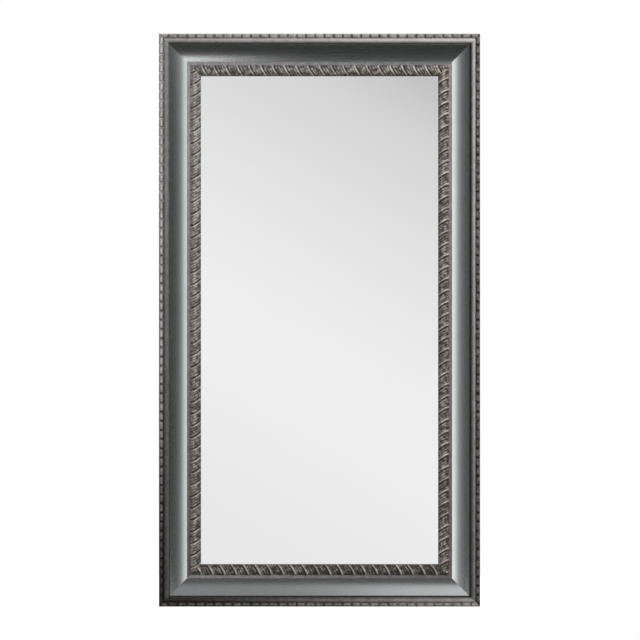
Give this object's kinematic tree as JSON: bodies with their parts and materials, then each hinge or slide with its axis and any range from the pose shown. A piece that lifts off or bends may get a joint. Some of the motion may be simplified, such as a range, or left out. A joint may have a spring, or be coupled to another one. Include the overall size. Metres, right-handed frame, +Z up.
{
  "type": "framed wall mirror",
  "caption": "Upright rectangular wall mirror in a mitred scooped moulding with beaded edge and twisted rope sight edge, with hinged hanging rings and turn buttons behind",
  "frame": {"origin": "centre of the box around the whole part, at the level of the frame's bottom edge", "axes": "+Z up along the frame's long sides, -Y out of the mirror's face, +Y to the wall, +X to the right as seen from the front"},
  "size_m": [0.638, 0.047, 1.138],
  "materials": {
    "moulding": "satin silver-grey metallic lacquer over wood",
    "rope_strip": "silver leaf rubbed over brown bole, carved",
    "bead_strip": "silver-grey metallic lacquer, dark in the gaps",
    "silvered_glass": "polished float glass, silvered on its back",
    "block_rubber": "matt",
    "foam": "closed-cell foam",
    "fibreboard": "brown hardboard",
    "button_steel": "zinc plated",
    "hanger_steel": "zinc plated",
    "ring_steel": "nickel plated wire",
    "screws": "yellow passivated zinc",
    "bumper_rubber": "matt",
    "v_nail_steel": "bare steel"
  },
  "bodies": {
    "frame": {"left_stile": "moulding", "right_stile": "moulding", "top_rail": "moulding", "bottom_rail": "moulding", "left_rope": "rope_strip", "right_rope": "rope_strip", "top_rope": "rope_strip", "bottom_rope": "rope_strip", "left_beading": "bead_strip", "right_beading": "bead_strip", "top_beading": "bead_strip", "bottom_beading": "bead_strip", "mirror_pane": "silvered_glass", "edge_blocks": "block_rubber", "foam_sheet": "foam", "backing_board": "fibreboard", "button_screws": "screws", "upper_left_strap": "hanger_steel", "upper_right_strap": "hanger_steel", "side_top_strap": "hanger_steel", "side_bottom_strap": "hanger_steel", "hanger_screws": "screws", "wall_bumpers": "bumper_rubber", "v_nails": "v_nail_steel"},
    "left_button_1": {"left_button_1": "button_steel"},
    "right_button_1": {"right_button_1": "button_steel"},
    "left_button_2": {"left_button_2": "button_steel"},
    "right_button_2": {"right_button_2": "button_steel"},
    "left_button_3": {"left_button_3": "button_steel"},
    "right_button_3": {"right_button_3": "button_steel"},
    "top_button_1": {"top_button_1": "button_steel"},
    "bottom_button_1": {"bottom_button_1": "button_steel"},
    "top_button_2": {"top_button_2": "button_steel"},
    "bottom_button_2": {"bottom_button_2": "button_steel"},
    "upper_left_ring": {"upper_left_ring": "ring_steel"},
    "upper_right_ring": {"upper_right_ring": "ring_steel"},
    "side_top_ring": {"side_top_ring": "ring_steel"},
    "side_bottom_ring": {"side_bottom_ring": "ring_steel"}
  },
  "joints": [
    {"name": "left_button_1_turn", "type": "hinge", "parent": "frame", "child": "left_button_1", "pos_m": [-0.26, 0.0166, 0.948], "axis": [0, 1, 0], "continuous": true},
    {"name": "right_button_1_turn", "type": "hinge", "parent": "frame", "child": "right_button_1", "pos_m": [0.26, 0.0166, 0.19], "axis": [0, 1, 0], "continuous": true},
    {"name": "left_button_2_turn", "type": "hinge", "parent": "frame", "child": "left_button_2", "pos_m": [-0.26, 0.0166, 0.569], "axis": [0, 1, 0], "continuous": true},
    {"name": "right_button_2_turn", "type": "hinge", "parent": "frame", "child": "right_button_2", "pos_m": [0.26, 0.0166, 0.569], "axis": [0, 1, 0], "continuous": true},
    {"name": "left_button_3_turn", "type": "hinge", "parent": "frame", "child": "left_button_3", "pos_m": [-0.26, 0.0166, 0.19], "axis": [0, 1, 0], "continuous": true},
    {"name": "right_button_3_turn", "type": "hinge", "parent": "frame", "child": "right_button_3", "pos_m": [0.26, 0.0166, 0.948], "axis": [0, 1, 0], "continuous": true},
    {"name": "top_button_1_turn", "type": "hinge", "parent": "frame", "child": "top_button_1", "pos_m": [0.129, 0.0166, 1.079], "axis": [0, 1, 0], "continuous": true},
    {"name": "bottom_button_1_turn", "type": "hinge", "parent": "frame", "child": "bottom_button_1", "pos_m": [-0.129, 0.0166, 0.059], "axis": [0, 1, 0], "continuous": true},
    {"name": "top_button_2_turn", "type": "hinge", "parent": "frame", "child": "top_button_2", "pos_m": [-0.129, 0.0166, 1.079], "axis": [0, 1, 0], "continuous": true},
    {"name": "bottom_button_2_turn", "type": "hinge", "parent": "frame", "child": "bottom_button_2", "pos_m": [0.129, 0.0166, 0.059], "axis": [0, 1, 0], "continuous": true},
    {"name": "upper_left_ring_swing", "type": "hinge", "parent": "frame", "child": "upper_left_ring", "pos_m": [-0.2855, 0.01878, 0.878], "axis": [1, 0, 0], "range_deg": [0, 174]},
    {"name": "upper_right_ring_swing", "type": "hinge", "parent": "frame", "child": "upper_right_ring", "pos_m": [0.2855, 0.01878, 0.878], "axis": [1, 0, 0], "range_deg": [0, 174]},
    {"name": "side_top_ring_swing", "type": "hinge", "parent": "frame", "child": "side_top_ring", "pos_m": [-0.209, 0.01878, 1.1045], "axis": [0, 0, 1], "range_deg": [0, 174]},
    {"name": "side_bottom_ring_swing", "type": "hinge", "parent": "frame", "child": "side_bottom_ring", "pos_m": [-0.209, 0.01878, 0.0335], "axis": [0, 0, 1], "range_deg": [0, 174]}
  ]
}
